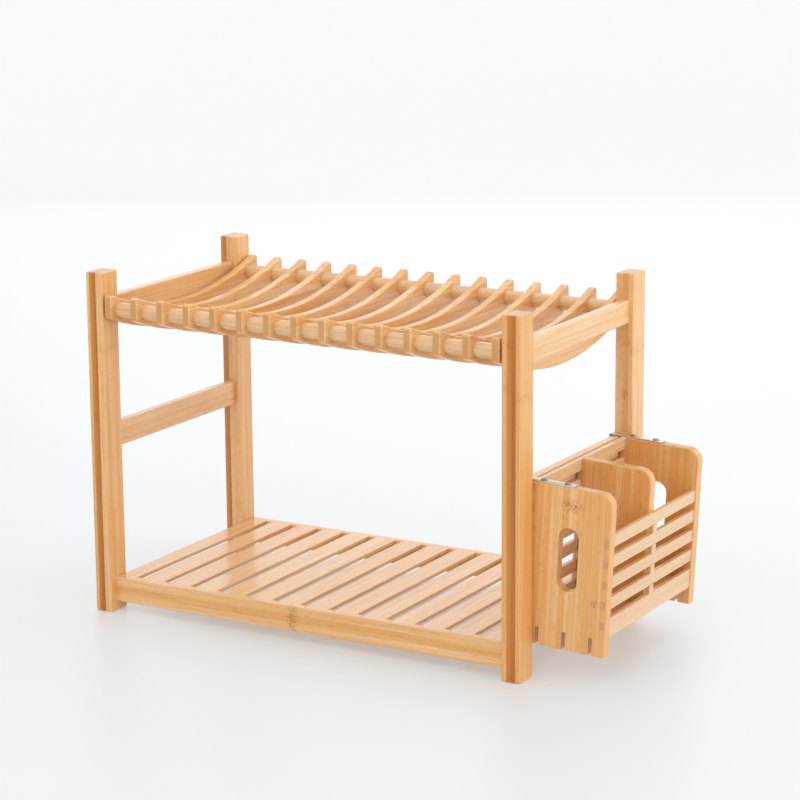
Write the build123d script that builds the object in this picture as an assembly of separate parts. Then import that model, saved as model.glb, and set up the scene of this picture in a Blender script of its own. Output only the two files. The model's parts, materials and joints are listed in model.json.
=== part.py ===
from build123d import *
import math
import os

# A two-tier dish drying rack in laminated bamboo, with a cutlery caddy hooked on its right side.
# All sizes are in millimetres. +X runs along the rack towards the caddy, +Y to the back and +Z up.
# The origin is on the worktop, under the middle of the rack and the caddy together. The pieces
# are drawn about the middle of the rack's four feet and moved to that origin at the end.

# Overall rack
rack_length = 458.0  # over the posts, along X
rack_depth = 252.0  # over the posts, along Y
rack_height = 330.0
edge_soft = 0.8  # chamfer on every long edge that a hand can touch
joint_gap = 0.1  # clearance on each side of a tenon or a slat end
cut_over = 1.0  # how far a cutting shape reaches past the face it opens

# Posts
post_width = 18.5  # along X
post_depth = 25.0  # along Y
post_soft = 1.0

# Rails
rail_height = 24.0  # the middle rails and the shelf rails
top_rail_height = 22.0
side_rail_thick = 9.0
side_rail_radius = 1.5  # rounding of the side rails' long edges
side_tenon_thick = 5.0
side_tenon_height = 16.0
side_tenon_length = 10.0
top_rail_drop = 25.0  # from the top of the posts down to the top side rails
left_mid_rail_top = 182.0
right_mid_rail_top = 179.3  # the caddy hooks over this rail, which sits a little lower

# Shelf
shelf_top = 34.0
shelf_rail_thick = 9.0
shelf_front_inset = 7.0  # front rail behind the front of the posts
shelf_back_inset = 0.5
shelf_tenon_thick = 5.0
shelf_tenon_height = 16.0
shelf_tenon_length = 6.0
slat_count = 14
slat_thick = 3.5
slat_gap = 7.8
slat_seat = 5.0  # how far a slat end lies in its rail
slat_shift = -4.0  # the slat pattern lies off centre, so the end slats differ
slat_post_gap = 0.3
slat_soft = 0.4

# Plate tray: curved ribs threaded on two round bars
rib_count = 15
rib_thick = 7.5
rib_post_gap = 2.2
rib_drop = 19.2  # from the top of the posts down to the rib tips
rib_tip_height = 22.8
rib_sag_top = 24.3
rib_sag_bottom = 24.8
rib_tip_radius = 3.2
bar_diameter = 14.0
bar_inset = 7.0  # bars behind the rib tips
bar_seat = 5.0  # how far a bar end lies in its post

# Cutlery caddy, drawn in its own upright frame: x = 0 at the edge that faces the rack,
# y = 0 halfway between its side panels, z = 0 at the top of the panels
caddy_reach = 80.0
caddy_height = 148.5
caddy_play = 10.0  # clear width between the posts, less the caddy's width
caddy_post_gap = 0.6  # caddy to the front post, along Y
caddy_gap = 0.4  # clearance between the caddy and the rail it hangs on
caddy_tilt = 3.0  # degrees: the loaded caddy hangs with its outer side low
panel_thick = 10.0
panel_radius = 12.0
panel_soft = 0.8
handle_width = 20.0
handle_height = 58.0
handle_drop = 65.5  # from the panel top to the middle of the handle slot
notch_width = 3.8
notch_height = 16.5
notch_pitch = 26.2
grille_thick = 4.4
grille_inset = 1.2
grille_lift = 16.2  # from the foot of the panels up to the grilles
grille_foot_height = 18.3  # the lowest grille rail
grille_opening = 7.8
grille_pitch_goal = 19.0
grille_tenon_height = 7.2
grille_tenon_drop = 2.0
grille_soft = 0.4
outer_rows = 4  # rows of openings in the low grille that faces away from the rack
stile_width = 8.0
floor_count = 3
floor_thick = 5.0
floor_drain = 4.0
floor_lift = 3.0
floor_seat = 3.0
hook_thick = 1.2
hook_width = 8.0
hook_run = 42.0  # length of hook strip that lies on the panel
hook_lip = 10.0
hook_bend = 1.6
screw_from_end = 8.0
screw_pitch = 23.0
screw_radius = 1.4
screw_length = 12.0
screw_hole_gap = 0.3
screw_head_radius = 3.0
screw_head_height = 1.1
recess_width = 0.8
recess_length = 3.4
recess_depth = 0.6

# Worked-out places
half_length = rack_length / 2
half_depth = rack_depth / 2
post_face_x = half_length - post_width  # the posts' faces that look along the rack
post_face_y = half_depth - post_depth  # the posts' faces that look front to back
side_rail_x = half_length - post_width / 2
shelf_front_y = -half_depth + shelf_front_inset + shelf_rail_thick / 2
shelf_back_y = half_depth - shelf_back_inset - shelf_rail_thick / 2
tip_top = rack_height - rib_drop
tip_bottom = tip_top - rib_tip_height
bar_y = half_depth - bar_inset - bar_diameter / 2
caddy_span = 2 * post_face_y - caddy_play
caddy_middle_y = -post_face_y + caddy_post_gap + caddy_span / 2
caddy_inner_half = caddy_span / 2 - panel_thick
grille_height = caddy_height - grille_lift
inner_rows = round((grille_height - grille_foot_height) / grille_pitch_goal)
grille_pitch = (grille_height - grille_foot_height) / inner_rows
grille_rail_height = grille_pitch - grille_opening
floor_bottom = -grille_height + floor_lift
tilt_sine = math.sin(math.radians(caddy_tilt))
tilt_cosine = math.cos(math.radians(caddy_tilt))
caddy_edge_x = side_rail_x + side_rail_thick / 2 + caddy_gap + rail_height * tilt_sine
hook_grip = (caddy_edge_x - side_rail_x + side_rail_thick / 2 + caddy_gap) / tilt_cosine
caddy_top = right_mid_rail_top + caddy_gap
caddy_place = Location((caddy_edge_x, caddy_middle_y, caddy_top), (0, caddy_tilt, 0))
caddy_corner_x = caddy_edge_x + (caddy_reach - panel_radius) * tilt_cosine - panel_radius * tilt_sine
overall_place = Pos((half_length - caddy_corner_x - panel_radius) / 2, 0, 0)


def block(low, high):
    """A plain box between two opposite corners."""
    size = [b - a for a, b in zip(low, high)]
    middle = [(a + b) / 2 for a, b in zip(low, high)]
    return Pos(*middle) * Box(*size)


def stick(low, high, along, soft=edge_soft):
    """A box between two corners, with its four edges along one axis chamfered."""
    piece = block(low, high)
    return chamfer(piece.edges().filter_by(along), soft)


def grown(low, high, gap=joint_gap):
    """The pocket for a box: the same box, larger by the gap on every side."""
    return block([a - gap for a in low], [b + gap for b in high])


# ---------------------------------------------------------------- plate tray


def arc_height(y, sag):
    """Height above the middle of a sagging arc that spans the rack's depth, at the distance y."""
    radius = (half_depth**2 + sag**2) / (2 * sag)
    return radius - math.sqrt(radius**2 - y**2)


def rib_middle_z(y):
    """Height of the middle of a rib's depth, at the distance y from the middle of the rack."""
    top = tip_top - rib_sag_top + arc_height(y, rib_sag_top)
    bottom = tip_bottom - rib_sag_bottom + arc_height(y, rib_sag_bottom)
    return (top + bottom) / 2


bar_z = rib_middle_z(bar_y)


def bar_section(side, gap):
    """The round section of a bar. A gap widens it and lowers it as much, so the top still bears."""
    return Plane.YZ * Pos(side * bar_y, bar_z - gap) * Circle(bar_diameter / 2 + gap)


def bar(side, gap=0.0):
    """A long bar with both ends in the posts. With a gap it is the pocket that takes the bar."""
    return extrude(bar_section(side, gap), post_face_x + bar_seat, both=True)


def rib_outline():
    """A crescent: two arcs that sag between upright tips with rounded corners."""
    front_low, front_high = (-half_depth, tip_bottom), (-half_depth, tip_top)
    back_low, back_high = (half_depth, tip_bottom), (half_depth, tip_top)
    lower = ThreePointArc(front_low, (0, tip_bottom - rib_sag_bottom), back_low)
    back = Line(back_low, back_high)
    upper = ThreePointArc(back_high, (0, tip_top - rib_sag_top), front_high)
    front = Line(front_high, front_low)
    face = make_face([lower, back, upper, front])
    return fillet(face.vertices(), rib_tip_radius)


def rib(x):
    """One rib, upright across the rack, with a mortise for each bar."""
    body = extrude(Plane.YZ * rib_outline(), rib_thick / 2, both=True)
    body = chamfer(body.faces().filter_by(Axis.X).edges(), edge_soft)
    for side in (-1, 1):
        body -= bar(side, joint_gap)
    return Pos(x, 0, 0) * body


def rib_places():
    """Middle of each rib along X, evenly spread between the posts."""
    first = -post_face_x + rib_post_gap + rib_thick / 2
    pitch = -2 * first / (rib_count - 1)
    return [first + i * pitch for i in range(rib_count)]


# ---------------------------------------------------------------- side rails


def side_rail_spans(side):
    """Top and height of the upper and of the middle rail at one end of the rack."""
    mid_rail_top = left_mid_rail_top if side < 0 else right_mid_rail_top
    return (rack_height - top_rail_drop, top_rail_height), (mid_rail_top, rail_height)


def side_rail_tenon(side, end, top, height):
    """Corners of the tenon at one end of a side rail."""
    x = side * side_rail_x
    z = top - height / 2
    near, far = sorted((end * post_face_y, end * (post_face_y + side_tenon_length)))
    low = (x - side_tenon_thick / 2, near, z - side_tenon_height / 2)
    high = (x + side_tenon_thick / 2, far, z + side_tenon_height / 2)
    return low, high


def side_rail(side, top, height):
    """A rail from front post to back post, at one end of the rack, with rounded long edges."""
    x = side * side_rail_x
    low = (x - side_rail_thick / 2, -post_face_y, top - height)
    high = (x + side_rail_thick / 2, post_face_y, top)
    body = block(low, high)
    body = fillet(body.edges().filter_by(Axis.Y), side_rail_radius)
    for end in (-1, 1):
        body += block(*side_rail_tenon(side, end, top, height))
    return body


# --------------------------------------------------------------------- shelf


def slat_spans():
    """Left and right edge of each slat. The pattern is shifted, and the end slats take up the rest."""
    room = 2 * (post_face_x - slat_post_gap)
    pitch = (room + slat_gap) / slat_count
    left = -room / 2
    spans = []
    for i in range(slat_count):
        start = left if i == 0 else left + i * pitch + slat_shift
        stop = room / 2 if i == slat_count - 1 else left + (i + 1) * pitch - slat_gap + slat_shift
        spans.append((start, stop))
    return spans


def slat(span):
    """A thin slat that lies in a seat in each shelf rail, flush with the rails."""
    front = shelf_front_y + shelf_rail_thick / 2 - slat_seat + joint_gap
    back = shelf_back_y - shelf_rail_thick / 2 + slat_seat - joint_gap
    low = (span[0], front, shelf_top - slat_thick)
    high = (span[1], back, shelf_top)
    return stick(low, high, Axis.Y, slat_soft)


def shelf_tenon(y, end):
    """Corners of the tenon at one end of a shelf rail."""
    z = shelf_top - rail_height / 2
    near, far = sorted((end * post_face_x, end * (post_face_x + shelf_tenon_length)))
    low = (near, y - shelf_tenon_thick / 2, z - shelf_tenon_height / 2)
    high = (far, y + shelf_tenon_thick / 2, z + shelf_tenon_height / 2)
    return low, high


def shelf_rail(y):
    """A long shelf rail with a seat for each slat in its inner face."""
    low = (-post_face_x, y - shelf_rail_thick / 2, shelf_top - rail_height)
    high = (post_face_x, y + shelf_rail_thick / 2, shelf_top)
    body = stick(low, high, Axis.X)
    for end in (-1, 1):
        body += block(*shelf_tenon(y, end))
    inner = y - math.copysign(shelf_rail_thick / 2, y)
    seat_end = inner + math.copysign(slat_seat, y)
    near, far = sorted((inner - math.copysign(cut_over, y), seat_end))
    for start, stop in slat_spans():
        seat_low = (start - joint_gap, near, shelf_top - slat_thick)
        seat_high = (stop + joint_gap, far, shelf_top + cut_over)
        body -= block(seat_low, seat_high)
    return body


# --------------------------------------------------------------------- posts


def post(side, end):
    """A corner post, mortised for the bar, the shelf rail and the two side rails that meet in it."""
    x_low, x_high = sorted((side * post_face_x, side * half_length))
    y_low, y_high = sorted((end * post_face_y, end * half_depth))
    body = block((x_low, y_low, 0), (x_high, y_high, rack_height))
    body = chamfer(body.edges(), post_soft)
    body -= bar(end, joint_gap)
    body -= grown(*shelf_tenon(shelf_front_y if end < 0 else shelf_back_y, side))
    for top, height in side_rail_spans(side):
        body -= grown(*side_rail_tenon(side, end, top, height))
    return body


# --------------------------------------------------------------------- caddy


def grille_rails(rows):
    """Lower and upper edge of each rail of a grille with this many rows of openings."""
    foot = -grille_height
    edges = [(foot, foot + grille_foot_height)]
    for row in range(1, rows + 1):
        upper = foot + grille_foot_height + row * grille_pitch
        edges.append((upper - grille_rail_height, upper))
    return edges


def grille_x(outer):
    """The two faces of a grille: the outer one faces away from the rack."""
    if outer:
        return caddy_reach - grille_inset - grille_thick, caddy_reach - grille_inset
    return grille_inset, grille_inset + grille_thick


def rail_tenon(outer, edges, end):
    """Corners of the tenon that takes a grille rail right through a side panel."""
    x_low, x_high = grille_x(outer)
    near, far = sorted((end * caddy_inner_half, end * caddy_span / 2))
    upper = edges[1] - grille_tenon_drop
    return (x_low, near, upper - grille_tenon_height), (x_high, far, upper)


def lap(outer, edges, gap):
    """Where a rail and the stile cross: the rail keeps the half that faces out of the caddy."""
    x_low, x_high = grille_x(outer)
    middle = (x_low + x_high) / 2
    half = stile_width / 2 + gap
    near, far = (x_low - cut_over, middle) if outer else (middle, x_high + cut_over)
    return block((near, -half, edges[0] - cut_over), (far, half, edges[1] + cut_over))


def grille_rail(outer, edges):
    """A grille rail between the side panels, halved over the stile."""
    x_low, x_high = grille_x(outer)
    low = (x_low, -caddy_inner_half, edges[0])
    high = (x_high, caddy_inner_half, edges[1])
    body = stick(low, high, Axis.Y, grille_soft)
    for end in (-1, 1):
        body += block(*rail_tenon(outer, edges, end))
    return body - lap(outer, edges, joint_gap)


def grille_stile(outer, rows):
    """The upright in the middle of a grille, halved over every rail."""
    x_low, x_high = grille_x(outer)
    rails = grille_rails(rows)
    body = block((x_low, -stile_width / 2, rails[0][0]), (x_high, stile_width / 2, rails[-1][1]))
    middle = (x_low + x_high) / 2
    near, far = (middle, x_high + cut_over) if outer else (x_low - cut_over, middle)
    for lower, upper in rails:
        body -= block((near, -stile_width, lower), (far, stile_width, upper))
    return body


def floor_slat_span(index):
    """Rack-side and outer edge of a floor slat, with a drain gap on both sides of it."""
    start = grille_x(False)[1]
    room = grille_x(True)[0] - start
    width = (room - (floor_count + 1) * floor_drain) / floor_count
    low = start + floor_drain + index * (width + floor_drain)
    return low, low + width


def floor_slat(index):
    """A floor slat between the side panels, with its ends in blind seats."""
    low, high = floor_slat_span(index)
    reach = caddy_inner_half + floor_seat - joint_gap
    corner = (low, -reach, floor_bottom)
    opposite = (high, reach, floor_bottom + floor_thick)
    return stick(corner, opposite, Axis.Y, grille_soft)


def panel_outline(low, high):
    """An upright panel seen from the side, with its outer top corner rounded."""
    width = high[0] - low[0]
    height = high[1] - low[1]
    face = Pos((low[0] + high[0]) / 2, (low[1] + high[1]) / 2) * Rectangle(width, height)
    corner = face.vertices().sort_by(Axis.X)[-2:].sort_by(Axis.Y)[-1]
    return fillet(corner, panel_radius)


def upright_panel(low, high, middle_y):
    """A panel across the Y axis, softened along both faces."""
    body = extrude(Plane.XZ * panel_outline(low, high), panel_thick / 2, both=True)
    body = chamfer(body.faces().filter_by(Axis.Y).edges(), panel_soft)
    return Pos(0, middle_y, 0) * body


def panel_y(end):
    """Middle of a side panel: end is -1 at the front and 1 at the back."""
    return end * (caddy_span / 2 - panel_thick / 2)


def notch_cuts(middle_y):
    """Three narrow slots up from the foot of a side panel."""
    cuts = []
    for i in (-1, 0, 1):
        x = caddy_reach / 2 + i * notch_pitch
        low = (x - notch_width / 2, middle_y - panel_thick, -caddy_height - cut_over)
        high = (x + notch_width / 2, middle_y + panel_thick, -caddy_height + notch_height)
        cuts.append(block(low, high))
    return cuts


def handle_cut(middle_y):
    """The upright slot for the fingers."""
    outline = Pos(caddy_reach / 2, -handle_drop) * SlotOverall(handle_height, handle_width, rotation=90)
    return Pos(0, middle_y, 0) * extrude(Plane.XZ * outline, panel_thick, both=True)


def side_panel(end):
    """A side panel with its handle, foot notches, rail mortises, floor seats and screw holes."""
    middle_y = panel_y(end)
    body = upright_panel((0, -caddy_height), (caddy_reach, 0), middle_y)
    body -= handle_cut(middle_y)
    for cut in notch_cuts(middle_y):
        body -= cut
    for outer, rows in ((True, outer_rows), (False, inner_rows)):
        for edges in grille_rails(rows):
            body -= grown(*rail_tenon(outer, edges, end))
    near, far = sorted((end * (caddy_inner_half - cut_over), end * (caddy_inner_half + floor_seat)))
    for i in range(floor_count):
        low, high = floor_slat_span(i)
        seat_low = (low - joint_gap, near, floor_bottom)
        seat_high = (high + joint_gap, far, floor_bottom + floor_thick + joint_gap)
        body -= block(seat_low, seat_high)
    for x in screw_places():
        hole = Cylinder(screw_radius + joint_gap / 2, screw_length + cut_over)
        body -= Pos(x, middle_y, (cut_over - screw_length) / 2) * hole
    return body


def divider():
    """The middle panel: it stands on the floor slats, between the two stiles."""
    low = (grille_x(False)[1], floor_bottom + floor_thick)
    high = (grille_x(True)[0], 0)
    return upright_panel(low, high, 0)


def hook_outline():
    """A bent strip: it lies on the panel, crosses the rack's rail and turns down behind it."""
    points = [
        (hook_run, 0),
        (hook_run, hook_thick),
        (-hook_grip - hook_thick, hook_thick),
        (-hook_grip - hook_thick, -hook_lip),
        (-hook_grip, -hook_lip),
        (-hook_grip, 0),
    ]
    face = make_face(Polyline(points, close=True))
    corner = face.vertices().sort_by_distance(Vector(*points[2]))[0]
    return fillet(corner, hook_bend)


def screw_places():
    """Distance of the two hook screws from the rack-side edge of a panel."""
    last = hook_run - screw_from_end
    return last - screw_pitch, last


def hook(end):
    """The metal strip that hangs one side panel on the rack."""
    body = extrude(Plane.XZ * hook_outline(), hook_width / 2, both=True)
    for x in screw_places():
        hole = Cylinder(screw_radius + screw_hole_gap, hook_thick + 2 * cut_over)
        body -= Pos(x, 0, hook_thick / 2) * hole
    return Pos(0, panel_y(end), 0) * body


def screw():
    """A pan-head screw pointing down, with the underside of its head on the hook strip."""
    shank = Pos(0, 0, hook_thick - screw_length / 2) * Cylinder(screw_radius, screw_length)
    head = Pos(0, 0, hook_thick + screw_head_height / 2) * Cylinder(screw_head_radius, screw_head_height)
    head = fillet(head.edges().sort_by(Axis.Z)[-1], screw_head_height / 2)
    middle = hook_thick + screw_head_height - recess_depth / 2
    recess = Pos(0, 0, middle) * Box(recess_length, recess_width, recess_depth)
    recess += Pos(0, 0, middle) * Box(recess_width, recess_length, recess_depth)
    return shank + head - recess


def hook_screws():
    """Four screws, two through each hook strip."""
    return Compound([Pos(x, panel_y(end), 0) * screw() for end in (-1, 1) for x in screw_places()])


# -------------------------------------------------------------------- pieces


def rack_pieces():
    """Every piece of the rack, by name."""
    pieces = {}
    for end, end_name in ((-1, "front"), (1, "back")):
        for side, side_name in ((-1, "left"), (1, "right")):
            pieces[f"post_{end_name}_{side_name}"] = post(side, end)
        pieces[f"tray_bar_{end_name}"] = bar(end)
    for side, side_name in ((-1, "left"), (1, "right")):
        for level, (top, height) in zip(("top", "mid"), side_rail_spans(side)):
            pieces[f"{level}_rail_{side_name}"] = side_rail(side, top, height)
    pieces["shelf_rail_front"] = shelf_rail(shelf_front_y)
    pieces["shelf_rail_back"] = shelf_rail(shelf_back_y)
    for i, span in enumerate(slat_spans()):
        pieces[f"shelf_slat_{i + 1:02d}"] = slat(span)
    for i, x in enumerate(rib_places()):
        pieces[f"rib_{i + 1:02d}"] = rib(x)
    return pieces


def caddy_pieces():
    """Every piece of the caddy, by name, in the caddy's own upright frame."""
    pieces = {"caddy_divider": divider(), "caddy_hook_screws": hook_screws()}
    for end, end_name in ((-1, "front"), (1, "back")):
        pieces[f"caddy_panel_{end_name}"] = side_panel(end)
        pieces[f"caddy_hook_{end_name}"] = hook(end)
    for i in range(floor_count):
        pieces[f"caddy_floor_slat_{i + 1}"] = floor_slat(i)
    for i, edges in enumerate(grille_rails(outer_rows)):
        pieces[f"caddy_outer_rail_{i + 1}"] = grille_rail(True, edges)
    inner_rails = [grille_rail(False, edges) for edges in grille_rails(inner_rows)]
    pieces["caddy_inner_rails"] = Compound(inner_rails)
    pieces["caddy_outer_stile"] = grille_stile(True, outer_rows)
    pieces["caddy_inner_stile"] = grille_stile(False, inner_rows)
    return pieces


os.makedirs("parts", exist_ok=True)
for name, piece in rack_pieces().items():
    export_step(overall_place * piece, f"parts/{name}.step")
for name, piece in caddy_pieces().items():
    export_step(overall_place * caddy_place * piece, f"parts/{name}.step")
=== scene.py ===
"""Dish drying rack in laminated bamboo, with a cutlery caddy hooked on its right side.

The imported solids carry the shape. This file gives each of them its finish, makes the bent
hooks and their screws in finer detail, and sets the floor, the lights and the camera. It is
laid out as an add-on and run as a script.
"""

import json
import math

import bpy
import numpy as np
from bpy.props import FloatProperty, FloatVectorProperty, PointerProperty
from mathutils import Matrix, Vector


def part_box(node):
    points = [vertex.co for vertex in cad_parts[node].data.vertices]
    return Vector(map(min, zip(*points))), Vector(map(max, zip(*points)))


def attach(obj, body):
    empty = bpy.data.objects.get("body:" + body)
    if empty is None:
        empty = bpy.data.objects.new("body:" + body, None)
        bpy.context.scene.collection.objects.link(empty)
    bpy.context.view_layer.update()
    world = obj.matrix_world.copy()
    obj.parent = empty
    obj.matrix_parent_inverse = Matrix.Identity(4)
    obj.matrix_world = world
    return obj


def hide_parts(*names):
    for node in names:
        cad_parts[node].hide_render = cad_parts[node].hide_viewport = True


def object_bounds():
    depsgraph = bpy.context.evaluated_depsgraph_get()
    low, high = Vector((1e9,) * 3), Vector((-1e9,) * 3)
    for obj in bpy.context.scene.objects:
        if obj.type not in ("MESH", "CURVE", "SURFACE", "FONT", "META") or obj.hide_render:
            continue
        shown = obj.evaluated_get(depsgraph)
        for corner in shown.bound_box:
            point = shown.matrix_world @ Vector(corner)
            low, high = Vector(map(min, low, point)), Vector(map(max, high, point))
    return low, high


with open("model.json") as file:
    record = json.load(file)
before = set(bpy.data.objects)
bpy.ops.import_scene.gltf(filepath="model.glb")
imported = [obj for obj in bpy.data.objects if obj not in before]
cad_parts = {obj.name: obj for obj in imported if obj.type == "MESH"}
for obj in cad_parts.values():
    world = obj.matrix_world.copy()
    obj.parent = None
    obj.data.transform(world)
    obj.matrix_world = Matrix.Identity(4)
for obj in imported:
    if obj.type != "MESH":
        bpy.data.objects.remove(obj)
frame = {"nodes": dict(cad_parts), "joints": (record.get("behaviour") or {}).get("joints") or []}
cad_low, cad_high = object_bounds()

bl_info = {
    "name": "Dish drying rack",
    "version": (1, 0, 0),
    "blender": (4, 5, 0),
    "location": "3D View > Sidebar > Drying rack",
    "description": "Finishes, hooks, screws and stage of a bamboo dish drying rack",
    "category": "Object",
}

MM = 0.001
MIX_A, MIX_B, MIX_RESULT = 6, 7, 2  # a mix node's colour sockets, which share their names with others
WHOLE = 1.0e4  # a size in mm that is longer than any piece, for an axis that isn't divided
END_EASE = 0.2  # radians: the last ring of a rounded end stops here, so its corners stay apart
EASE_RINGS = 4  # rings that round over an end of a hook strip
BEND_RINGS = 10  # rings round the bend of a hook strip
CORNER_POINTS = 5  # points on each rounded corner of a hook strip's section
DOME_RINGS = 30  # rings on the dome of a screw head
SCREW_AROUND = 64  # points round a screw
FLOOR_RINGS, FLOOR_AROUND = 24, 96
SHARP_ANGLE = math.radians(50)  # edges that turn by more than this stay crisp
SHUFFLE = 90  # how far apart two strips may lie in the noise, so that their grain differs
SHARED_STRIP = 30  # a strip size in mm, wider than the pieces that take it are thick
RAIL_STRIP = 12  # height in mm of the strips in the ribs and the side rails
SOFTBOX_SIZE, BACKDROP_SIZE = 1.4, 1.6
CADDY = "caddy"


def linear(code):
    """The linear colour, with alpha, of an sRGB hex code."""
    parts = [int(code[i : i + 2], 16) / 255 for i in (1, 3, 5)]
    return (*(p / 12.92 if p <= 0.04045 else ((p + 0.055) / 1.055) ** 2.4 for p in parts), 1.0)


def colour(name, code, description):
    """A colour setting whose default is an sRGB hex code."""
    return FloatVectorProperty(
        name=name,
        description=description,
        subtype="COLOR",
        size=4,
        min=0,
        max=1,
        default=linear(code),
    )


def length(name, millimetres, description):
    """A length setting whose default is given in millimetres."""
    return FloatProperty(
        name=name, description=description, unit="LENGTH", precision=5, default=millimetres * MM
    )


# ------------------------------------------------------------------ settings


class BambooFinish(bpy.types.PropertyGroup):
    """Colours and sizes of the bamboo strips and of the satin lacquer on them."""

    straw: colour("Straw", "#f2c994", "Palest strips, cut near the middle of the culm wall")
    honey: colour("Honey", "#e0a45c", "Darkest of the natural strips")
    drab: colour("Drab", "#d8b691", "Strips from the outer wall, greyer and less yellow")
    caramel: colour("Caramel", "#c97d1e", "Steamed strips, the light streaks")
    toffee: colour("Toffee", "#a3560f", "Steamed strips, the dark streaks")
    fibre: colour("Fibre", "#c98844", "Fibre bundles along the grain")
    joint_mark: colour("Joint mark", "#a9601f", "Speckles where the culm had a joint")
    end_grain: colour("End grain", "#c58b50", "Sawn ends, which soak up more lacquer")
    # Real fibres and pores are finer. They are drawn as coarse as they need to be to show.
    strip_width: length("Strip width", 6.5, "Width of one glued strip")
    fibre_width: length("Fibre width", 0.9, "Width of one fibre streak")
    fibre_length: length("Fibre length", 70, "Length of one fibre streak")
    pore_width: length("Pore width", 0.7, "Width of one open pore")
    pore_length: length("Pore length", 7, "Length of one open pore")
    joint_spacing: length("Joint spacing", 290, "Distance between two joints of the culm")
    joint_length: length("Joint length", 8, "Length of the speckled band at a culm joint")
    end_strength: FloatProperty(
        name="End strength", description="How dark the sawn ends are", default=0.8, min=0, max=1
    )
    roughness: FloatProperty(
        name="Roughness", description="Roughness of the satin lacquer", default=0.36, min=0, max=1
    )
    relief: length("Relief", 0.08, "Depth of the grain that still shows through the lacquer")


class SteelFinish(bpy.types.PropertyGroup):
    """Colour and sizes of the hooks and screws."""

    steel: colour("Steel", "#d3d1ce", "Brushed stainless strip")
    zinc: colour("Zinc", "#8f8d8b", "Plated screw heads")
    # Real brush lines are finer. They are drawn as coarse as they need to be to show.
    brush_width: length("Brush width", 0.35, "Distance between brush lines")
    strip_thick: length("Strip thickness", 1.2, "Thickness of the hook strip")
    strip_bend: length("Strip bend", 1.6, "Outer radius of the bend of the strip")
    edge_round: length("Edge round", 0.3, "Rounding of the edges of the strip")
    head_radius: length("Head radius", 3.0, "Radius of a screw head")
    head_height: length("Head height", 1.1, "Height of a screw head")
    shank_radius: length("Shank radius", 1.4, "Radius of a screw shank")
    screw_length: length("Screw length", 12.0, "Length of a screw under its head")
    screw_from_end: length("Last screw", 8.0, "From the end of the strip to the first screw")
    screw_pitch: length("Screw pitch", 23.0, "Distance between the two screws of a hook")
    roughness: FloatProperty(
        name="Roughness", description="Roughness across the brush lines", default=0.3, min=0, max=1
    )


class StageSettings(bpy.types.PropertyGroup):
    """Floor, lights and camera."""

    floor: colour("Floor", "#b8bec1", "Pale matt floor")
    floor_radius: FloatProperty(
        name="Floor radius", description="Radius of the floor", unit="LENGTH", default=9.0
    )
    # Painted glow: extra emission that makes the floor paler towards the back, standing in for light; the
    # floor is no lamp.
    painted_glow: FloatProperty(
        name="Glow", description="How much paler the floor is far away", default=0.13, min=0
    )
    # Painted glow: an even emission over the whole floor, which lightens its shadows and lights the pieces
    # from below; nothing shines through the board.
    painted_base_glow: FloatProperty(
        name="Backlight", description="Light through the translucent floor board", default=0.27, min=0
    )
    painted_glow_start: FloatProperty(
        name="Glow start", description="Where the floor begins to pale", unit="LENGTH", default=-0.5
    )
    painted_glow_end: FloatProperty(
        name="Glow end", description="Where the floor is palest", unit="LENGTH", default=2.5
    )
    daylight: FloatProperty(
        name="Daylight", description="Strength of the white surroundings", default=0.9, min=0
    )
    overhead: FloatProperty(
        name="Overhead", description="Power of the softbox above", unit="POWER", default=5
    )
    side: FloatProperty(
        name="Side", description="Power of the softbox on the caddy's side", unit="POWER", default=20
    )
    front: FloatProperty(
        name="Front", description="Power of the softbox in front", unit="POWER", default=8
    )
    backdrop: FloatProperty(
        name="Backdrop", description="Power of the low softbox behind", unit="POWER", default=3
    )
    camera_place: FloatVectorProperty(
        name="Camera place",
        description="Where the camera stands",
        subtype="TRANSLATION",
        unit="LENGTH",
        default=(1.24015, -2.14681, 0.78525),
    )
    camera_turn: FloatProperty(
        name="Turn", description="Turn to the left", subtype="ANGLE", default=math.radians(30.038)
    )
    camera_tilt: FloatProperty(
        name="Tilt", description="Tilt down", subtype="ANGLE", default=math.radians(13.051)
    )
    camera_roll: FloatProperty(
        name="Roll", description="Lean of the camera", subtype="ANGLE", default=math.radians(-0.426)
    )
    lens: FloatProperty(
        name="Lens", description="Focal length in millimetres", subtype="DISTANCE_CAMERA", default=122.441
    )


# ----------------------------------------------------------------- materials


def add(tree, kind, values=None, links=None, **options):
    """Add a node. Options are its own settings, values fill its inputs and links join them."""
    node = tree.nodes.new(kind)
    for option, value in options.items():
        setattr(node, option, value)
    for socket, value in (values or {}).items():
        node.inputs[socket].default_value = value
    for socket, output in (links or {}).items():
        tree.links.new(output, node.inputs[socket])
    return node


def new_material(name):
    """An empty node material with its principled shader joined to the output."""
    material = bpy.data.materials.new(name)
    material.use_nodes = True
    tree = material.node_tree
    tree.nodes.clear()
    shader = add(tree, "ShaderNodeBsdfPrincipled")
    add(tree, "ShaderNodeOutputMaterial", links={"Surface": shader.outputs["BSDF"]})
    return material, tree, shader


def caddy_lean():
    """The caddy's lean in radians, from the direction in which it lifts."""
    axis = frame["joints"][0]["axis"]
    return math.atan2(axis[0], axis[2])


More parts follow.
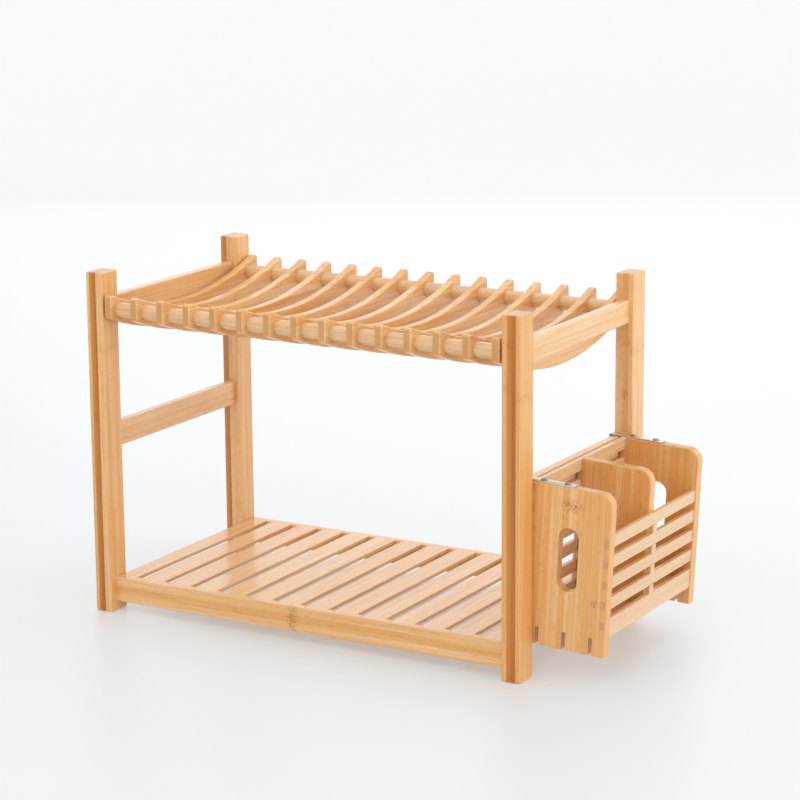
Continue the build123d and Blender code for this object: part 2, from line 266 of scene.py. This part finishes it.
def laminated_bamboo(
    name,
    order,
    strips=(0, 0),
    start=(0, 0),
    shade=0.5,
    core=None,
    marks=(),
    turned=False,
    drab=0.0,
    knots=0.0,
):
    """Laminated bamboo: culm strips planed, glued side by side, sanded and sealed with satin lacquer.

    The eye sees straight strips that each have their own tone, fine streaks that run the whole
    length, short dark pores, speckled bands where the culm had its joints, darker sawn ends and
    a soft sheen. Distances are in mm. order names the two axes across the grain and then the one
    along it. strips are the strip sizes across the grain, counted from start. shade is the mean
    tone from straw to honey. core is (first edge, last edge, strength) of a steamed dark strip.
    marks are speckled patches: (across, across, along, half across, half across, half along).
    drab is the share of the greyer outer wall in the strips, and knots the strength of the joints
    that recur along them.
    """
    finish = bpy.context.scene.rack_bamboo
    material, tree, shader = new_material(name)
    place = add(tree, "ShaderNodeTexCoord")
    millimetres = add(
        tree,
        "ShaderNodeMapping",
        {"Rotation": (0, caddy_lean() if turned else 0, 0), "Scale": (MM, MM, MM)},
        {"Vector": place.outputs["Object"]},
        vector_type="TEXTURE",
    )
    axes = add(tree, "ShaderNodeSeparateXYZ", links={0: millimetres.outputs[0]})
    ordered = add(tree, "ShaderNodeCombineXYZ", links={i: axes.outputs[order[i]] for i in range(3)})

    # Each strip takes its random numbers from the place of its first corner.
    counted = add(
        tree,
        "ShaderNodeVectorMath",
        {1: (start[0], start[1], -WHOLE / 2)},
        {0: ordered.outputs[0]},
        operation="SUBTRACT",
    )
    sizes = (strips[0] or WHOLE, strips[1] or WHOLE, WHOLE)
    corner = add(tree, "ShaderNodeVectorMath", {1: sizes}, {0: counted.outputs[0]}, operation="SNAP")
    chance = add(tree, "ShaderNodeTexWhiteNoise", links={"Vector": corner.outputs[0]})
    shuffle = add(
        tree,
        "ShaderNodeVectorMath",
        {1: (SHUFFLE, SHUFFLE, SHUFFLE)},
        {0: chance.outputs["Color"]},
        operation="MULTIPLY",
    )

    def streaks(width, run, detail):
        """Noise drawn out along the grain, whose streaks are about width wide and run long."""
        scaled = add(
            tree,
            "ShaderNodeVectorMath",
            {1: (MM / width, MM / width, MM / run)},
            {0: ordered.outputs[0], 2: shuffle.outputs[0]},
            operation="MULTIPLY_ADD",
        )
        noise = add(tree, "ShaderNodeTexNoise", {"Scale": 1, "Detail": detail}, {0: scaled.outputs[0]})
        return noise.outputs[0]

    fibres = streaks(finish.fibre_width, finish.fibre_length, 3)
    bands = streaks(finish.fibre_width * 4, finish.fibre_length * 3, 2)
    pores = streaks(finish.pore_width, finish.pore_length, 1)
    specks = streaks(finish.pore_width * 1.6, finish.pore_width * 4, 2)

    # Tone from straw to honey: the broad bands, moved up or down by the strip's own number.
    spread = add(
        tree,
        "ShaderNodeMapRange",
        {"From Min": 0.3, "From Max": 0.7, "To Min": shade - 0.35, "To Max": shade + 0.35},
        {0: bands},
        clamp=False,
    )
    tone = add(
        tree,
        "ShaderNodeMath",
        {1: 0.55},
        {0: chance.outputs["Value"], 2: spread.outputs[0]},
        operation="MULTIPLY_ADD",
    )
    level = add(
        tree, "ShaderNodeMath", {1: 0.275}, {0: tone.outputs[0]}, operation="SUBTRACT", use_clamp=True
    )
    wood = add(
        tree,
        "ShaderNodeMix",
        {MIX_A: finish.straw, MIX_B: finish.honey},
        {0: level.outputs[0]},
        data_type="RGBA",
    ).outputs[MIX_RESULT]
    wood = add(
        tree, "ShaderNodeMix", {0: drab, MIX_B: finish.drab}, {MIX_A: wood}, data_type="RGBA"
    ).outputs[MIX_RESULT]
    bundle = add(
        tree, "ShaderNodeMapRange", {"From Min": 0.5, "From Max": 0.72, "To Max": 0.55}, {0: fibres}
    )
    wood = add(
        tree, "ShaderNodeMix", {MIX_B: finish.fibre}, {0: bundle.outputs[0], MIX_A: wood}, data_type="RGBA"
    ).outputs[MIX_RESULT]

    if core:
        first, last, strength = core
        steamed = add(
            tree,
            "ShaderNodeMapRange",
            {"From Min": first, "From Max": last, "To Min": -0.1, "To Max": 0.9},
            {0: axes.outputs[order[0]]},
        )
        streaked = add(
            tree, "ShaderNodeMath", {1: 1.6, 2: -0.8}, {0: bands}, operation="MULTIPLY_ADD"
        )
        depth = add(
            tree, "ShaderNodeMath", links={0: steamed.outputs[0], 1: streaked.outputs[0]}, use_clamp=True
        )
        dark = add(
            tree,
            "ShaderNodeMix",
            {MIX_A: finish.caramel, MIX_B: finish.toffee},
            {0: depth.outputs[0]},
            data_type="RGBA",
        )
        inside = add(
            tree,
            "ShaderNodeMath",
            {1: (first + last) / 2, 2: (last - first) / 2},
            {0: axes.outputs[order[0]]},
            operation="COMPARE",
        )
        dyed = add(tree, "ShaderNodeMath", {1: strength}, {0: inside.outputs[0]}, operation="MULTIPLY")
        wood = add(
            tree, "ShaderNodeMix", links={0: dyed.outputs[0], MIX_A: wood, MIX_B: dark.outputs[MIX_RESULT]},
            data_type="RGBA",
        ).outputs[MIX_RESULT]

    # Open pores are dark dashes; the culm's joints are bands of specks across a strip.
    open_pore = add(
        tree, "ShaderNodeMapRange", {"From Min": 0.64, "From Max": 0.74, "To Max": 0.5}, {0: pores}
    )
    turn = add(
        tree,
        "ShaderNodeMath",
        {1: MM / finish.joint_spacing},
        {0: axes.outputs[order[2]], 2: chance.outputs["Value"]},
        operation="MULTIPLY_ADD",
    )
    along = add(tree, "ShaderNodeMath", links={0: turn.outputs[0]}, operation="FRACT")
    off_middle = add(tree, "ShaderNodeMath", {1: 0.5}, {0: along.outputs[0]}, operation="SUBTRACT")
    distance = add(tree, "ShaderNodeMath", links={0: off_middle.outputs[0]}, operation="ABSOLUTE")
    share = finish.joint_length / finish.joint_spacing
    band = add(
        tree, "ShaderNodeMapRange", {"From Min": share, "From Max": 0.2 * share}, {0: distance.outputs[0]}
    )
    patch = add(tree, "ShaderNodeMath", {1: knots}, {0: band.outputs[0]}, operation="MULTIPLY").outputs[0]
    for mark in marks:
        middle = add(
            tree, "ShaderNodeVectorMath", {1: mark[:3]}, {0: ordered.outputs[0]}, operation="SUBTRACT"
        )
        sized = add(
            tree, "ShaderNodeVectorMath", {1: mark[3:]}, {0: middle.outputs[0]}, operation="DIVIDE"
        )
        away = add(tree, "ShaderNodeVectorMath", links={0: sized.outputs[0]}, operation="LENGTH")
        blot = add(
            tree,
            "ShaderNodeMapRange",
            {"From Min": 1.3, "From Max": 0.4, "To Max": 0.9},
            {0: away.outputs["Value"]},
        )
        patch = add(
            tree, "ShaderNodeMath", links={0: patch, 1: blot.outputs[0]}, operation="MAXIMUM"
        ).outputs[0]
    speck = add(
        tree, "ShaderNodeMapRange", {"From Min": 0.42, "From Max": 0.6, "To Max": 0.9}, {0: specks}
    )
    speckled = add(tree, "ShaderNodeMath", links={0: speck.outputs[0], 1: patch}, operation="MULTIPLY")
    spots = add(
        tree, "ShaderNodeMath", links={0: speckled.outputs[0], 1: open_pore.outputs[0]}, operation="MAXIMUM"
    )
    wood = add(
        tree,
        "ShaderNodeMix",
        {MIX_B: finish.joint_mark},
        {0: spots.outputs[0], MIX_A: wood},
        data_type="RGBA",
    ).outputs[MIX_RESULT]

    # Sawn ends: the faces that look along the grain.
    facing = add(tree, "ShaderNodeSeparateXYZ", links={0: place.outputs["Normal"]})
    straight = add(
        tree, "ShaderNodeMath", links={0: facing.outputs[order[2]]}, operation="ABSOLUTE"
    )
    sawn = add(
        tree, "ShaderNodeMapRange", {"From Min": 0.8, "From Max": 0.95, "To Max": finish.end_strength},
        {0: straight.outputs[0]},
    )
    wood = add(
        tree, "ShaderNodeMix", {MIX_B: finish.end_grain}, {0: sawn.outputs[0], MIX_A: wood}, data_type="RGBA"
    ).outputs[MIX_RESULT]

    # The lacquer is a little rougher over raised fibres, and the pores stay open in it.
    smooth, rough = finish.roughness - 0.05, finish.roughness + 0.09
    gloss = add(
        tree,
        "ShaderNodeMapRange",
        {"From Min": 0.3, "From Max": 0.7, "To Min": smooth, "To Max": rough},
        {0: fibres},
    )
    height = add(
        tree, "ShaderNodeMath", links={0: fibres, 1: spots.outputs[0]}, operation="SUBTRACT"
    )
    relief = add(
        tree, "ShaderNodeBump", {"Strength": 0.5, "Distance": finish.relief}, {"Height": height.outputs[0]}
    )
    shader.inputs["Specular IOR Level"].default_value = 0.4
    shader.inputs["Coat Weight"].default_value = 0.5
    shader.inputs["Coat Roughness"].default_value = 0.15
    tree.links.new(wood, shader.inputs["Base Color"])
    tree.links.new(gloss.outputs[0], shader.inputs["Roughness"])
    tree.links.new(relief.outputs[0], shader.inputs["Normal"])
    return material


def brushed_steel(name):
    """Stainless strip, rolled and brushed along its length: a bright soft streak across the lines."""
    finish = bpy.context.scene.rack_steel
    material, tree, shader = new_material(name)
    place = add(tree, "ShaderNodeTexCoord")
    width = finish.brush_width
    lines = add(
        tree,
        "ShaderNodeMapping",
        {"Rotation": (0, caddy_lean(), 0), "Scale": (40 * width, width, width)},
        {"Vector": place.outputs["Object"]},
        vector_type="TEXTURE",
    )
    brush = add(tree, "ShaderNodeTexNoise", {"Scale": 1, "Detail": 2}, {0: lines.outputs[0]})
    smooth, rough = finish.roughness - 0.08, finish.roughness + 0.1
    gloss = add(
        tree,
        "ShaderNodeMapRange",
        {"From Min": 0.3, "From Max": 0.7, "To Min": smooth, "To Max": rough},
        {0: brush.outputs[0]},
    )
    relief = add(
        tree, "ShaderNodeBump", {"Strength": 0.4, "Distance": 0.03 * MM}, {"Height": brush.outputs[0]}
    )
    shader.inputs["Base Color"].default_value = finish.steel
    shader.inputs["Metallic"].default_value = 1
    tree.links.new(gloss.outputs[0], shader.inputs["Roughness"])
    tree.links.new(relief.outputs[0], shader.inputs["Normal"])
    return material


def plated_zinc(name):
    """Cold-formed steel screw with a thin zinc plating: grey, with a faint cloudiness."""
    finish = bpy.context.scene.rack_steel
    material, tree, shader = new_material(name)
    place = add(tree, "ShaderNodeTexCoord")
    patch_size = 1.5 * MM
    cloud = add(
        tree, "ShaderNodeTexNoise", {"Scale": 1 / patch_size, "Detail": 2}, {0: place.outputs["Object"]}
    )
    gloss = add(
        tree, "ShaderNodeMapRange", {"From Min": 0.3, "From Max": 0.7, "To Min": 0.2, "To Max": 0.34},
        {0: cloud.outputs[0]},
    )
    shader.inputs["Base Color"].default_value = finish.zinc
    shader.inputs["Metallic"].default_value = 1
    tree.links.new(gloss.outputs[0], shader.inputs["Roughness"])
    return material


def matt_floor(name):
    """Plain matt board with a painted glow: its own emission lights it evenly and grows towards the back,
    standing in for a lit studio sweep.
    """
    stage = bpy.context.scene.rack_stage
    material, tree, shader = new_material(name)
    place = add(tree, "ShaderNodeTexCoord")
    away = add(tree, "ShaderNodeSeparateXYZ", links={0: place.outputs["Object"]})
    # Painted glow: the floor's emission, its even base level rising towards the back, makes the floor look
    # lit.
    painted_glow = add(
        tree,
        "ShaderNodeMapRange",
        {
            "From Min": stage.painted_glow_start,
            "From Max": stage.painted_glow_end,
            "To Min": stage.painted_base_glow,
            "To Max": stage.painted_base_glow + stage.painted_glow,
        },
        {0: away.outputs["Y"]},
        interpolation_type="SMOOTHSTEP",
    )
    shader.inputs["Base Color"].default_value = stage.floor
    shader.inputs["Roughness"].default_value = 0.42
    shader.inputs["Emission Color"].default_value = (1, 1, 1, 1)
    tree.links.new(painted_glow.outputs[0], shader.inputs["Emission Strength"])
    return material


def give(material, nodes):
    """Put one material in every slot of these CAD nodes."""
    for node in nodes:
        slots = frame["nodes"][node].material_slots
        if not slots:
            raise RuntimeError(f"{node} has no material slot")
        for slot in slots:
            slot.material = material


def named(start):
    """The CAD nodes whose names begin with start, in order."""
    found = sorted(n for n in frame["nodes"] if n.startswith(start))
    if not found:
        raise RuntimeError(f"the packed model has no node that begins with {start}")
    return found


def low_corner(node):
    """The lowest corner of a CAD node in mm."""
    return [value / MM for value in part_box(node)[0]]


# -------------------------------------------------------------------- shapes


def closed_tube(rings):
    """Points and faces of a closed tube through rings of points, shaped (rings, around, 3).

    Neighbouring rings are joined by quads that wrap round, and a flat face closes each end.
    """
    count, around = rings.shape[:2]
    first = np.arange(count - 1)[:, None] * around
    here = np.arange(around)[None]
    after = (here + 1) % around
    quads = np.stack([first + here, first + after, first + around + after, first + around + here], axis=-1)
    ends = [np.arange(around)[::-1], np.arange((count - 1) * around, count * around)]
    return rings.reshape(-1, 3), quads.reshape(-1, 4).tolist() + [end.tolist() for end in ends]


def make_piece(name, shells, material, body=None):
    """One object from (points, faces) shells in metres, in the rack's frame, riding on a body."""
    points, faces, offset = [], [], 0
    for shell_points, shell_faces in shells:
        points.append(shell_points)
        faces += [[corner + offset for corner in face] for face in shell_faces]
        offset += len(shell_points)
    mesh = bpy.data.meshes.new(name)
    mesh.from_pydata(np.concatenate(points), [], faces)
    mesh.shade_smooth()
    mesh.set_sharp_from_angle(angle=SHARP_ANGLE)
    mesh.materials.append(material)
    mesh.validate()
    piece = bpy.data.objects.new(name, mesh)
    bpy.context.scene.collection.objects.link(piece)
    if body:
        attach(piece, body)
    return piece


def leaned(points, origin):
    """Points of the caddy's own upright frame, turned about Y by its lean and moved to origin."""
    sine, cosine = math.sin(caddy_lean()), math.cos(caddy_lean())
    x, y, z = np.moveaxis(points, -1, 0)
    turned = np.stack([x * cosine + z * sine, y, z * cosine - x * sine], axis=-1)
    return turned + np.array(origin)


def caddy_corner():
    """X and Z in mm, in the caddy's upright frame, of its top corner towards the rack.

    It is the corner that hook_measures finds, turned back by the lean.
    """
    sine, cosine = math.sin(caddy_lean()), math.cos(caddy_lean())
    x, _, z = hook_measures("caddy_hook_front")[0]
    return (x * cosine - z * sine) / MM, (z * cosine + x * sine) / MM


def hook_measures(node):
    """Origin in the caddy's frame, run, grip, lip and half width of a hook, from its solid's box.

    The box of the leaning strip gives four sums of its sizes, which are solved one by one: the
    panel's top is the origin's height, the bend's crown gives the grip, the lowest edge the lip,
    the far end the origin's X and the near end the run.
    """
    finish = bpy.context.scene.rack_steel
    sine, cosine = math.sin(caddy_lean()), math.cos(caddy_lean())
    thick, bend = finish.strip_thick, finish.strip_bend
    low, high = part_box(node)
    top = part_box(node.replace("hook", "panel"))[1].z
    grip = (high.z - top - bend - (thick - bend) * cosine) / sine + bend - thick
    lip = (top + grip * sine - low.z) / cosine
    edge = low.x + (grip + thick) * cosine + lip * sine
    run = (high.x - edge - thick * sine) / cosine
    return (edge, (low.y + high.y) / 2, top), run, grip, lip, (high.y - low.y) / 2


def strip_section(half_wide, half_thick, inset):
    """A rounded rectangle, its corners drawn in by inset, anticlockwise."""
    soft = bpy.context.scene.rack_steel.edge_round
    turn = np.linspace(0, math.pi / 2, CORNER_POINTS)
    corner = np.repeat(np.arange(4), CORNER_POINTS)
    angle = corner * math.pi / 2 + np.tile(turn, 4)
    wide_sign = np.where((corner == 0) | (corner == 3), 1, -1)
    thick_sign = np.where(corner < 2, 1, -1)
    radius = soft - inset
    across = wide_sign * (half_wide - soft) + radius * np.cos(angle)
    up = thick_sign * (half_thick - soft) + radius * np.sin(angle)
    return across, up


def hook_strip(node):
    """A bent strip: a rounded section carried along a straight run, a quarter bend and a short lip.

    The path is the middle of the strip's thickness. At each end the last rings draw the section
    in along most of a quarter circle, so that the sheared edges are rounded over. The rings run
    from the lip to the far end, which turns the faces outwards.
    """
    finish = bpy.context.scene.rack_steel
    origin, run, grip, lip, half_wide = hook_measures(node)
    half, soft = finish.strip_thick / 2, finish.edge_round
    radius = finish.strip_bend - half
    centre_x = -grip - finish.strip_thick + finish.strip_bend
    bend = np.linspace(0, math.pi / 2, BEND_RINGS)
    ease = np.linspace(END_EASE, math.pi / 2, EASE_RINGS)
    start_x = run - soft + soft * np.cos(ease)
    end_z = -lip + soft - soft * np.cos(ease[::-1])
    lip_x = np.full(EASE_RINGS, centre_x - radius)
    path_x = np.concatenate([start_x, centre_x - radius * np.sin(bend), lip_x])
    path_z = np.concatenate([np.full(EASE_RINGS, half), half - radius + radius * np.cos(bend), end_z])
    lean = np.concatenate([np.zeros(EASE_RINGS), bend, np.full(EASE_RINGS, math.pi / 2)])
    drawn_in = soft * (1 - np.sin(ease))
    inset = np.concatenate([drawn_in, np.zeros(BEND_RINGS), drawn_in[::-1]])
    across, up = strip_section(half_wide, half, inset[:, None])
    x = path_x[:, None] - up * np.sin(lean)[:, None]
    z = path_z[:, None] + up * np.cos(lean)[:, None]
    y = np.broadcast_to(across, x.shape)
    rings = np.stack([x, y, z], axis=-1)[::-1]
    return closed_tube(leaned(rings, origin))


def screw_shell(origin, along):
    """A pan-head screw turned about its axis: a (radius, height) profile carried round a circle.

    The head is a flat dome, height times (1 - 0.4 (r/R)^4). Its cross recess lowers the points
    that lie within the arms, with smooth flanks.
    """
    finish = bpy.context.scene.rack_steel
    seat, crown, wide = finish.strip_thick, finish.head_height, finish.head_radius
    shank, tip = finish.shank_radius, finish.strip_thick - finish.screw_length
    arm, reach, deep, flank = 0.45 * MM, 1.75 * MM, 0.6 * MM, 0.12 * MM
    dome = np.linspace(wide * 0.97, 0.1 * MM, DOME_RINGS)
    radius = np.concatenate([[0.15 * MM, shank * 0.7, shank, shank, shank, wide * 0.95, wide], dome])
    dome_height = seat + crown * (1 - 0.4 * (dome / wide) ** 4)
    height = np.concatenate(
        [[tip, tip + 0.8 * MM, tip + 2 * MM, 0.0, seat, seat, seat + 0.15 * crown], dome_height]
    )
    angle = np.linspace(0, 2 * math.pi, SCREW_AROUND, endpoint=False)[None]
    radius, height = radius[:, None], height[:, None]
    x, y = radius * np.cos(angle), radius * np.sin(angle)
    nearest = np.minimum(np.abs(x), np.abs(y))
    inside = np.clip((arm - nearest) / flank + 0.5, 0, 1) * np.clip((reach - radius) / flank, 0, 1)
    z = height - deep * inside * (height > seat + 0.5 * crown)
    shift = np.array([along, 0, 0])
    return closed_tube(leaned(np.stack([x, y, z], axis=-1) + shift, origin))


# ----------------------------------------------------------------- operators


class RACK_OT_posts(bpy.types.Operator):
    """Finish the four corner posts: light, dark and light strips, with the dark one in the middle"""

    bl_idname = "rack.posts"
    bl_label = "Corner posts"

    def execute(self, context):
        # Per post: dark strip's edges from the left face, its strength, the tone of the light
        # strips and the joints' heights.
        laid = {
            "post_front_left": (4.2, 11.2, 1.0, 0.6, (4.0, 190.0)),
            "post_front_right": (5.3, 14.0, 1.0, 0.95, (7.0, 304.0)),
            "post_back_left": (1.0, 7.5, 0.85, 0.45, (120.0, 280.0)),
            "post_back_right": (7.0, 14.0, 0.3, 0.45, (60.0, 215.0)),
        }
        for node, (first, last, strength, shade, joints) in laid.items():
            low = low_corner(node)
            middle = low[0] + (first + last) / 2
            marks = [(middle, low[1], z, (last - first) / 2, 30, 5.5) for z in joints]
            core = (low[0] + first, low[0] + last, strength)
            edge = (core[1], low[1])
            material = laminated_bamboo(
                f"bamboo_{node}", (0, 1, 2), (WHOLE / 2, 0), edge, shade, core, marks, knots=0.35
            )
            give(material, [node])
        return {"FINISHED"}


class RACK_OT_tray(bpy.types.Operator):
    """Finish the plate tray: the two bars and the ribs that are threaded on them"""

    bl_idname = "rack.tray"
    bl_label = "Plate tray"

    def execute(self, context):
        bars = laminated_bamboo(
            "bamboo_tray_bars", (1, 2, 0), (SHARED_STRIP, 0), (0, 0), 0.4, drab=0.4
        )
        give(bars, named("tray_bar"))
        ribs = named("rib_")
        first, second = low_corner(ribs[0]), low_corner(ribs[1])
        pitch = second[0] - first[0]
        edge = (first[0] - pitch / 4, first[2])
        give(laminated_bamboo("bamboo_ribs", (0, 2, 1), (pitch, RAIL_STRIP), edge, 0.55, knots=0.3), ribs)
        return {"FINISHED"}


class RACK_OT_side_rails(bpy.types.Operator):
    """Finish the rails at the two ends of the rack"""

    bl_idname = "rack.side_rails"
    bl_label = "Side rails"

    def execute(self, context):
        rails = named("top_rail") + named("mid_rail")
        low = low_corner(rails[0])
        strips = (SHARED_STRIP, RAIL_STRIP)
        material = laminated_bamboo(
            "bamboo_side_rails", (0, 2, 1), strips, (low[0], low[2]), 0.25, drab=0.2
        )
        give(material, rails)
        return {"FINISHED"}


class RACK_OT_shelf(bpy.types.Operator):
    """Finish the shelf: the two long rails and the slats between them"""

    bl_idname = "rack.shelf"
    bl_label = "Shelf"

    def execute(self, context):
        rails, slats = named("shelf_rail"), named("shelf_slat")
        low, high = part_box("shelf_rail_front")
        middle_z = (low.z + high.z) / 2 / MM
        joint = (low.y / MM, middle_z, self.joint_place(low.x, high.x), 20, 14, 6)
        long_rails = laminated_bamboo(
            "bamboo_shelf_rails", (1, 2, 0), (60, 8), (0, low.z / MM), 0.65, marks=[joint]
        )
        give(long_rails, rails)
        second, third = low_corner(slats[1]), low_corner(slats[2])
        pitch = third[0] - second[0]
        thin_slats = laminated_bamboo(
            "bamboo_shelf_slats", (0, 2, 1), (pitch, 0), (second[0], 0), 0.35, drab=0.25, knots=0.1
        )
        give(thin_slats, slats)
        return {"FINISHED"}

    @staticmethod
    def joint_place(low, high):
        """Where a culm joint shows on the front rail, in mm along it: a little left of the middle."""
        return (low + 0.475 * (high - low)) / MM


class RACK_OT_caddy_panels(bpy.types.Operator):
    """Finish the caddy's two side panels and its divider, whose strips stand upright"""

    bl_idname = "rack.caddy_panels"
    bl_label = "Caddy panels"

    def execute(self, context):
        strip = context.scene.rack_bamboo.strip_width / MM
        x, z = caddy_corner()
        y = low_corner("caddy_panel_front")[1]
        # Joint marks on the front panel: middle and half size, in from its corner and down.
        joints = ((41, 16, 11, 6), (4, 90, 3, 5), (69, 100, 4, 4))
        marks = [(x + over, y, z - down, wide, strip, tall) for over, down, wide, tall in joints]
        panels = named("caddy_panel") + ["caddy_divider"]
        material = laminated_bamboo(
            "bamboo_caddy_panels", (0, 1, 2), (strip, 60), (x, 0), 0.95, marks=marks, turned=True
        )
        give(material, panels)
        return {"FINISHED"}


class RACK_OT_caddy_grilles(bpy.types.Operator):
    """Finish the caddy's two grilles, their stiles and its floor slats"""

    bl_idname = "rack.caddy_grilles"
    bl_label = "Caddy grilles and floor"

    def execute(self, context):
        rails = named("caddy_outer_rail") + ["caddy_inner_rails"]
        first, second = low_corner("caddy_outer_rail_2"), low_corner("caddy_outer_rail_3")
        pitch = second[2] - first[2]
        edge = (first[0], first[2] - pitch / 4)
        pale_rails = laminated_bamboo(
            "bamboo_grille_rails", (0, 2, 1), (SHARED_STRIP, pitch), edge, 0.2, turned=True, drab=0.65
        )
        give(pale_rails, rails)
        pale_stiles = laminated_bamboo(
            "bamboo_stiles", (0, 1, 2), (SHARED_STRIP, 0), (0, 0), 0.25, turned=True, drab=0.65
        )
        give(pale_stiles, ["caddy_outer_stile", "caddy_inner_stile"])
        floor = laminated_bamboo("bamboo_caddy_floor", (0, 2, 1), (24, 0), (0, 0), 0.4, turned=True)
        give(floor, named("caddy_floor_slat"))
        return {"FINISHED"}


class RACK_OT_hooks(bpy.types.Operator):
    """Make the two bent strips that hang the caddy on its rail, and their four screws"""

    bl_idname = "rack.hooks"
    bl_label = "Hooks and screws"

    def execute(self, context):
        finish = context.scene.rack_steel
        steel, zinc = brushed_steel("brushed_stainless_strip"), plated_zinc("zinc_plated_screw")
        screws = []
        for end in ("front", "back"):
            node = f"caddy_hook_{end}"
            strip = make_piece(f"hook_strip_{end}", [hook_strip(node)], steel, CADDY)
            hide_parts(node)
            origin, run = hook_measures(node)[:2]
            last = run - finish.screw_from_end
            screws += [screw_shell(origin, x) for x in (last - finish.screw_pitch, last)]
        heads = make_piece("hook_screws", screws, zinc, CADDY)
        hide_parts("caddy_hook_screws")
        return {"FINISHED"}


class RACK_OT_stage(bpy.types.Operator):
    """Set the floor, the white surroundings, the softboxes and the camera"""

    bl_idname = "rack.stage"
    bl_label = "Stage"

    def execute(self, context):
        stage = context.scene.rack_stage
        self.floor(stage)
        world = bpy.data.worlds.new("white_surroundings")
        world.use_nodes = True
        world.node_tree.nodes.clear()
        tree = world.node_tree
        sky = add(tree, "ShaderNodeBackground", {"Color": (1, 1, 1, 1), "Strength": stage.daylight})
        add(tree, "ShaderNodeOutputWorld", links={"Surface": sky.outputs[0]})
        context.scene.world = world
        context.scene.view_settings.view_transform = "Standard"
        self.softbox("overhead_softbox", (0.2, 0.9, 1.6), (0, 0, 0), SOFTBOX_SIZE, stage.overhead)
        self.softbox("side_softbox", (2.4, -0.1, 0.45), (0, 0, 0.15), SOFTBOX_SIZE, stage.side)
        self.softbox("front_softbox", (0.3, -1.8, 1.5), (0, 0, 0.15), SOFTBOX_SIZE, stage.front)
        self.softbox("backdrop_softbox", (-1.15, 2.0, 0.95), (0, 0, 0.2), BACKDROP_SIZE, stage.backdrop)
        self.camera(stage)
        return {"FINISHED"}

    def floor(self, stage):
        """A flat disc, drawn as rings whose radius grows by equal steps, just under the feet.

        The rings run clockwise, which turns the disc's faces up.
        """
        radius = np.linspace(0.05, 1, FLOOR_RINGS)[:, None] * stage.floor_radius
        angle = -np.linspace(0, 2 * math.pi, FLOOR_AROUND, endpoint=False)[None]
        height = np.full((FLOOR_RINGS, FLOOR_AROUND), cad_low.z - 0.1 * MM)
        rings = np.stack([radius * np.cos(angle), radius * np.sin(angle), height], axis=-1)
        points, faces = closed_tube(rings)
        floor = make_piece("floor", [(points, faces[:-1])], matt_floor("matt_white_board"))

    def softbox(self, name, place, aim, size, power):
        """A square area light that looks at a point."""
        light = bpy.data.lights.new(name, "AREA")
        light.size = size
        light.energy = power
        box = bpy.data.objects.new(name, light)
        box.location = place
        direction = Vector(aim) - Vector(place)
        box.rotation_euler = direction.to_track_quat("-Z", "Y").to_euler()
        box.visible_camera = False
        bpy.context.scene.collection.objects.link(box)

    def camera(self, stage):
        """Turned to the left about the upright, tilted down, then rolled about its own view."""
        data = bpy.data.cameras.new("camera")
        data.lens = stage.lens
        data.clip_end = 100
        camera = bpy.data.objects.new("camera", data)
        turn = Matrix.Rotation(stage.camera_turn, 4, "Z")
        tilt = Matrix.Rotation(math.pi / 2 - stage.camera_tilt, 4, "X")
        roll = Matrix.Rotation(stage.camera_roll, 4, "Z")
        camera.matrix_world = Matrix.Translation(stage.camera_place) @ turn @ tilt @ roll
        bpy.context.scene.collection.objects.link(camera)
        bpy.context.scene.camera = camera


class RACK_PT_panel(bpy.types.Panel):
    """Settings and steps of the drying rack"""

    bl_idname = "RACK_PT_panel"
    bl_label = "Drying rack"
    bl_space_type = "VIEW_3D"
    bl_region_type = "UI"
    bl_category = "Drying rack"

    def draw(self, context):
        for operator in OPERATORS:
            self.layout.operator(operator.bl_idname)
        for settings in (context.scene.rack_bamboo, context.scene.rack_steel, context.scene.rack_stage):
            box = self.layout.box()
            for setting in settings.bl_rna.properties:
                if not setting.is_readonly and setting.identifier != "name":
                    box.prop(settings, setting.identifier)


SETTINGS = {"rack_bamboo": BambooFinish, "rack_steel": SteelFinish, "rack_stage": StageSettings}
OPERATORS = (
    RACK_OT_posts,
    RACK_OT_tray,
    RACK_OT_side_rails,
    RACK_OT_shelf,
    RACK_OT_caddy_panels,
    RACK_OT_caddy_grilles,
    RACK_OT_hooks,
    RACK_OT_stage,
)


def register():
    """Register the settings, the operators and the panel."""
    for name, group in SETTINGS.items():
        bpy.utils.register_class(group)
        setattr(bpy.types.Scene, name, PointerProperty(type=group))
    for made in (*OPERATORS, RACK_PT_panel):
        bpy.utils.register_class(made)


def unregister():
    """Take them away again, in the opposite order."""
    for made in (RACK_PT_panel, *reversed(OPERATORS)):
        bpy.utils.unregister_class(made)
    for name, group in reversed(SETTINGS.items()):
        delattr(bpy.types.Scene, name)
        bpy.utils.unregister_class(group)


def main():
    """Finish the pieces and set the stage."""
    register()
    for operator in OPERATORS:
        group, step = operator.bl_idname.split(".")
        getattr(getattr(bpy.ops, group), step)()


if __name__ == "__main__":
    main()
